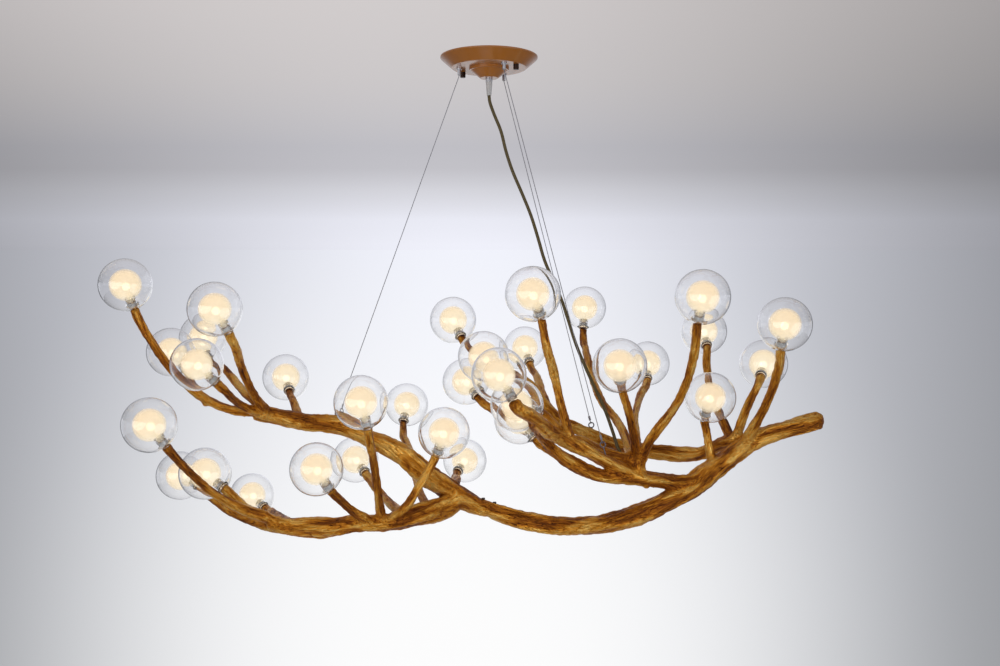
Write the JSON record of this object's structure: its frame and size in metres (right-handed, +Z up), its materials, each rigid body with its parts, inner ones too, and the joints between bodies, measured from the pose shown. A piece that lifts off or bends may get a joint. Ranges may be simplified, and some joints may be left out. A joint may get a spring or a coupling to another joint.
{
  "type": "bubble chandelier",
  "caption": "Branch-shaped pendant chandelier: a gold-brown sculpted bough on three thin wires, its twigs tipped with double-walled glass bubbles, below a round ceiling canopy.",
  "frame": {"origin": "middle of the ceiling crossbar on the ceiling plane, between the two ceiling screw holes", "axes": "+Z up, +X along the bough's length towards its bare end, +Y to the rear, away from the viewer"},
  "size_m": [1.4064, 0.754, 0.9756],
  "materials": {
    "steel": "satin zinc-plated steel",
    "canopy_paint": "satin orange-tan brown paint",
    "dark_metal": "dark bronze, satin",
    "driver_case": "white moulded plastic",
    "terminal_plastic": "white moulded plastic",
    "relief_plastic": "translucent white",
    "cord_jacket": "olive-brown jacket, satin",
    "bark_gold": "antique gold-brown paint on cast resin, satin gloss",
    "holder_metal": "silvery, satin",
    "grip_silicone": "clear silicone",
    "lamp_glass": "lit pin-base capsule",
    "globe_glass": "clear blown outer bubble, frosted inner ball"
  },
  "bodies": {
    "ceiling_mount": {"ceiling_crossbar": "steel", "crossbar_studs": "steel", "canopy": "canopy_paint", "led_driver": "driver_case", "terminal_block": "terminal_plastic", "cord_gland": "steel", "strain_relief": "relief_plastic", "wire_gripper_left": "steel", "wire_gripper_front": "steel", "wire_gripper_rear": "steel"},
    "bough": {"upper_left_limb": "bark_gold", "lower_left_limb": "bark_gold", "trunk": "bark_gold", "front_lower_limb": "bark_gold", "front_upper_limb": "bark_gold", "rear_limb": "bark_gold", "joint_spigot": "steel", "joint_screws": "dark_metal", "lamp_holders": "holder_metal", "grip_rings": "grip_silicone", "lamps": "lamp_glass", "eye_screws": "steel", "power_cord": "cord_jacket"},
    "left_wire": {"suspension_wire_left": "steel"},
    "front_wire": {"suspension_wire_front": "steel"},
    "rear_wire": {"suspension_wire_rear": "steel"},
    "left_cap_nut": {"cap_nut_left": "dark_metal"},
    "right_cap_nut": {"cap_nut_right": "dark_metal"},
    "bubble_01": {"globe_01": "globe_glass"},
    "bubble_02": {"globe_02": "globe_glass"},
    "bubble_03": {"globe_03": "globe_glass"},
    "bubble_04": {"globe_04": "globe_glass"},
    "bubble_05": {"globe_05": "globe_glass"},
    "bubble_06": {"globe_06": "globe_glass"},
    "bubble_07": {"globe_07": "globe_glass"},
    "bubble_08": {"globe_08": "globe_glass"},
    "bubble_09": {"globe_09": "globe_glass"},
    "bubble_10": {"globe_10": "globe_glass"},
    "bubble_11": {"globe_11": "globe_glass"},
    "bubble_12": {"globe_12": "globe_glass"},
    "bubble_13": {"globe_13": "globe_glass"},
    "bubble_14": {"globe_14": "globe_glass"},
    "bubble_15": {"globe_15": "globe_glass"},
    "bubble_16": {"globe_16": "globe_glass"},
    "bubble_17": {"globe_17": "globe_glass"},
    "bubble_18": {"globe_18": "globe_glass"},
    "bubble_19": {"globe_19": "globe_glass"},
    "bubble_20": {"globe_20": "globe_glass"},
    "bubble_21": {"globe_21": "globe_glass"},
    "bubble_22": {"globe_22": "globe_glass"},
    "bubble_23": {"globe_23": "globe_glass"},
    "bubble_24": {"globe_24": "globe_glass"},
    "bubble_25": {"globe_25": "globe_glass"},
    "bubble_26": {"globe_26": "globe_glass"},
    "bubble_27": {"globe_27": "globe_glass"},
    "bubble_28": {"globe_28": "globe_glass"},
    "bubble_29": {"globe_29": "globe_glass"},
    "bubble_30": {"globe_30": "globe_glass"},
    "bubble_31": {"globe_31": "globe_glass"},
    "bubble_32": {"globe_32": "globe_glass"}
  },
  "joints": [
    {"name": "bough_sway", "type": "hinge", "parent": "ceiling_mount", "child": "bough", "pos_m": [-0.007, 0, 0.115], "axis": [0, 1, 0], "range_deg": [-3, 3], "deforming": ["power_cord"]},
    {"name": "left_wire_swing", "type": "hinge", "parent": "ceiling_mount", "child": "left_wire", "pos_m": [-0.06, 0, -0.0373], "axis": [0, 1, 0], "range_deg": [-4, 4]},
    {"name": "front_wire_swing", "type": "hinge", "parent": "ceiling_mount", "child": "front_wire", "pos_m": [0.03, -0.05196, -0.0373], "axis": [0, 1, 0], "range_deg": [-4, 4]},
    {"name": "rear_wire_swing", "type": "hinge", "parent": "ceiling_mount", "child": "rear_wire", "pos_m": [0.03, 0.05196, -0.0373], "axis": [0, 1, 0], "range_deg": [-4, 4]},
    {"name": "bubble_01_pull", "type": "slide", "parent": "bough", "child": "bubble_01", "axis": [-0.0995, -0.597, 0.796], "range_m": [0, 0.034]},
    {"name": "bubble_02_pull", "type": "slide", "parent": "bough", "child": "bubble_02", "axis": [-0.424, -0.318, 0.848], "range_m": [0, 0.034]},
    {"name": "bubble_03_pull", "type": "slide", "parent": "bough", "child": "bubble_03", "axis": [-0.6931, -0.198, 0.6931], "range_m": [0, 0.034]},
    {"name": "bubble_04_pull", "type": "slide", "parent": "bough", "child": "bubble_04", "axis": [-0.597, 0.0995, 0.796], "range_m": [0, 0.034]},
    {"name": "bubble_05_pull", "type": "slide", "parent": "bough", "child": "bubble_05", "axis": [-0.4041, 0.101, 0.9091], "range_m": [0, 0.034]},
    {"name": "bubble_06_pull", "type": "slide", "parent": "bough", "child": "bubble_06", "axis": [-0.2873, 0.7663, 0.5747], "range_m": [0, 0.034]},
    {"name": "bubble_07_pull", "type": "slide", "parent": "bough", "child": "bubble_07", "axis": [-0.4444, -0.4444, 0.7778], "range_m": [0, 0.034]},
    {"name": "bubble_08_pull", "type": "slide", "parent": "bough", "child": "bubble_08", "axis": [-0.8093, 0.3854, 0.4432], "range_m": [0, 0.034]},
    {"name": "bubble_09_pull", "type": "slide", "parent": "bough", "child": "bubble_09", "axis": [-0.7987, 0.2922, 0.526], "range_m": [0, 0.034]},
    {"name": "bubble_10_pull", "type": "slide", "parent": "bough", "child": "bubble_10", "axis": [-0.6674, 0.5721, 0.4767], "range_m": [0, 0.034]},
    {"name": "bubble_11_pull", "type": "slide", "parent": "bough", "child": "bubble_11", "axis": [-0.4203, -0.4203, 0.8041], "range_m": [0, 0.034]},
    {"name": "bubble_12_pull", "type": "slide", "parent": "bough", "child": "bubble_12", "axis": [-0.5025, 0.7035, 0.5025], "range_m": [0, 0.034]},
    {"name": "bubble_13_pull", "type": "slide", "parent": "bough", "child": "bubble_13", "axis": [-0.212, -0.212, 0.954], "range_m": [0, 0.034]},
    {"name": "bubble_14_pull", "type": "slide", "parent": "bough", "child": "bubble_14", "axis": [0.1078, 0.647, 0.7548], "range_m": [0, 0.034]},
    {"name": "bubble_15_pull", "type": "slide", "parent": "bough", "child": "bubble_15", "axis": [0.2798, -0.4663, 0.8393], "range_m": [0, 0.034]},
    {"name": "bubble_16_pull", "type": "slide", "parent": "bough", "child": "bubble_16", "axis": [0.318, 0.848, 0.424], "range_m": [0, 0.034]},
    {"name": "bubble_17_pull", "type": "slide", "parent": "bough", "child": "bubble_17", "axis": [-0.3714, 0.5571, 0.7428], "range_m": [0, 0.034]},
    {"name": "bubble_18_pull", "type": "slide", "parent": "bough", "child": "bubble_18", "axis": [-0.4767, -0.5721, 0.6674], "range_m": [0, 0.034]},
    {"name": "bubble_19_pull", "type": "slide", "parent": "bough", "child": "bubble_19", "axis": [-0.4856, 0, 0.8742], "range_m": [0, 0.034]},
    {"name": "bubble_20_pull", "type": "slide", "parent": "bough", "child": "bubble_20", "axis": [-0.5077, 0.6092, 0.6092], "range_m": [0, 0.034]},
    {"name": "bubble_21_pull", "type": "slide", "parent": "bough", "child": "bubble_21", "axis": [-0.198, 0.6931, 0.6931], "range_m": [0, 0.034]},
    {"name": "bubble_22_pull", "type": "slide", "parent": "bough", "child": "bubble_22", "axis": [-0.2873, -0.5747, 0.7663], "range_m": [0, 0.034]},
    {"name": "bubble_23_pull", "type": "slide", "parent": "bough", "child": "bubble_23", "axis": [-0.9024, -0.3158, 0.2933], "range_m": [0, 0.034]},
    {"name": "bubble_24_pull", "type": "slide", "parent": "bough", "child": "bubble_24", "axis": [0.0953, 0.286, 0.9535], "range_m": [0, 0.034]},
    {"name": "bubble_25_pull", "type": "slide", "parent": "bough", "child": "bubble_25", "axis": [-0.0995, -0.796, 0.597], "range_m": [0, 0.034]},
    {"name": "bubble_26_pull", "type": "slide", "parent": "bough", "child": "bubble_26", "axis": [0.1005, 0.7035, 0.7035], "range_m": [0, 0.034]},
    {"name": "bubble_27_pull", "type": "slide", "parent": "bough", "child": "bubble_27", "axis": [0.0967, -0.4834, 0.8701], "range_m": [0, 0.034]},
    {"name": "bubble_28_pull", "type": "slide", "parent": "bough", "child": "bubble_28", "axis": [0, 0.7526, 0.6585], "range_m": [0, 0.034]},
    {"name": "bubble_29_pull", "type": "slide", "parent": "bough", "child": "bubble_29", "axis": [0.0937, -0.6556, 0.7493], "range_m": [0, 0.034]},
    {"name": "bubble_30_pull", "type": "slide", "parent": "bough", "child": "bubble_30", "axis": [0, -0.6, 0.8], "range_m": [0, 0.034]},
    {"name": "bubble_31_pull", "type": "slide", "parent": "bough", "child": "bubble_31", "axis": [0.303, 0.8081, 0.5051], "range_m": [0, 0.034]},
    {"name": "bubble_32_pull", "type": "slide", "parent": "bough", "child": "bubble_32", "axis": [-0.5847, 0.3313, 0.7406], "range_m": [0, 0.034]},
    {"name": "left_cap_nut_travel", "type": "slide", "parent": "ceiling_mount", "child": "left_cap_nut", "axis": [0, 0, -1], "range_m": [0, 0.009]},
    {"name": "right_cap_nut_travel", "type": "slide", "parent": "ceiling_mount", "child": "right_cap_nut", "axis": [0, 0, -1], "range_m": [0, 0.009]}
  ],
  "couplings": [
    {"joint": "left_wire_swing", "follows": "bough_sway", "ratio": 1.2224},
    {"joint": "front_wire_swing", "follows": "bough_sway", "ratio": 1.2071},
    {"joint": "rear_wire_swing", "follows": "bough_sway", "ratio": 1.2152}
  ]
}
